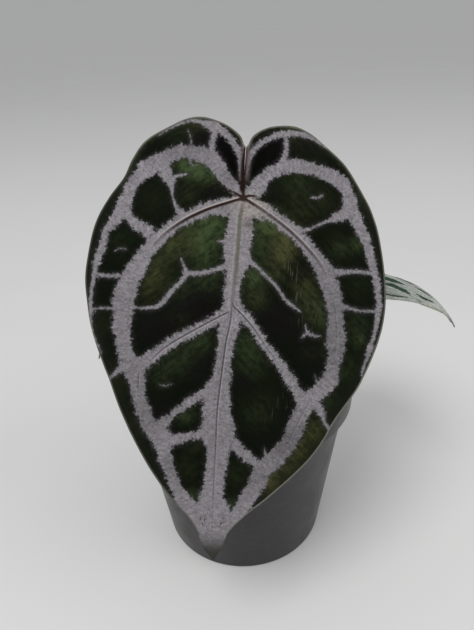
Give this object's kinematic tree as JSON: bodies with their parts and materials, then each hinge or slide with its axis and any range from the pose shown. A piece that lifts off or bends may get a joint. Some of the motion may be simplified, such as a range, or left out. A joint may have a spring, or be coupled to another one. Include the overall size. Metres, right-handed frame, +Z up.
{
  "type": "potted anthurium crystallinum hybrid",
  "caption": "Potted velvet-leaved anthurium: a large heart-shaped blade with silver veins hangs over the rim of a plain black nursery pot, with smaller blades behind it.",
  "frame": {"origin": "centre of the pot's underside, on the surface that it stands on", "axes": "+Z up; the front blade faces -Y and the right-hand blade reaches out along +X"},
  "size_m": [0.1893, 0.1568, 0.2276],
  "materials": {
    "pot": "satin black moulded plastic",
    "potting_mix": "rough bark and pumice mix",
    "stem": "dull green",
    "root": "matt tan",
    "bract": "papery brown",
    "petiole": "satin green with a red flush",
    "leaf": "velvety dark green with silver veins"
  },
  "bodies": {
    "root": {"pot": "pot", "potting_mix": "potting_mix", "stem": "stem", "aerial_root_1": "root", "aerial_root_2": "root", "aerial_root_3": "root", "aerial_root_4": "root", "bract_1": "bract", "bract_2": "bract", "bract_3": "bract", "petiole_front": "petiole", "petiole_right": "petiole", "petiole_left": "petiole", "leaf_front": "leaf", "leaf_right": "leaf", "leaf_left": "leaf"}
  },
  "joints": []
}
